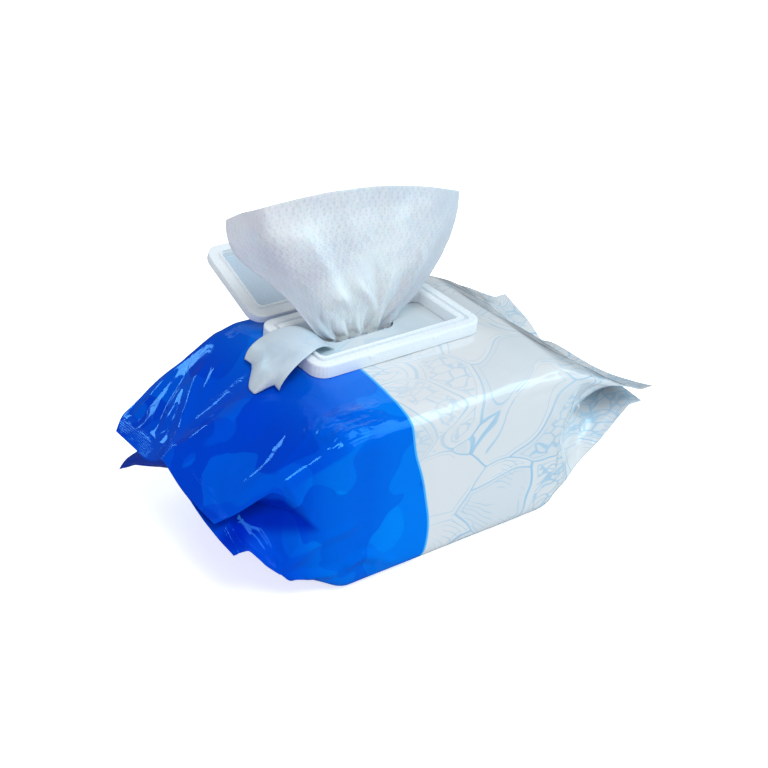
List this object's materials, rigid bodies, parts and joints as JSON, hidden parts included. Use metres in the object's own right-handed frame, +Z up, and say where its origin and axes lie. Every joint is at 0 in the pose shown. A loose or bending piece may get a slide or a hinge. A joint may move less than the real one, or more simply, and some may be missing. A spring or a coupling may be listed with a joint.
{
  "type": "wet wipes pack",
  "caption": "Film pack of wet wipes with gusseted sides, crimped end seals and a moulded flip lid standing open, its label peeled back and a wipe pulled out.",
  "frame": {"origin": "on the table, under the middle of the pack's flat underside", "axes": "+X along the pack towards its white end, +Y towards the lid's hinge, +Z up"},
  "size_m": [0.277, 0.1546, 0.1862],
  "materials": {
    "film": "glossy printed film",
    "wipes": "matt embossed non-woven",
    "label": "satin film",
    "moulding": "fine satin"
  },
  "bodies": {
    "pack": {"film_pouch": "film", "wipe_stack": "wipes", "pulled_wipe": "wipes", "peel_label": "label", "lid_frame": "moulding"},
    "lid": {"flip_lid": "moulding"}
  },
  "joints": [
    {"name": "lid_hinge", "type": "hinge", "parent": "pack", "child": "lid", "pos_m": [-0.0049, 0.03895, 0.10245], "axis": [1, 0, 0], "range_deg": [-20, 160], "deforming": ["pulled_wipe", "peel_label"]}
  ]
}
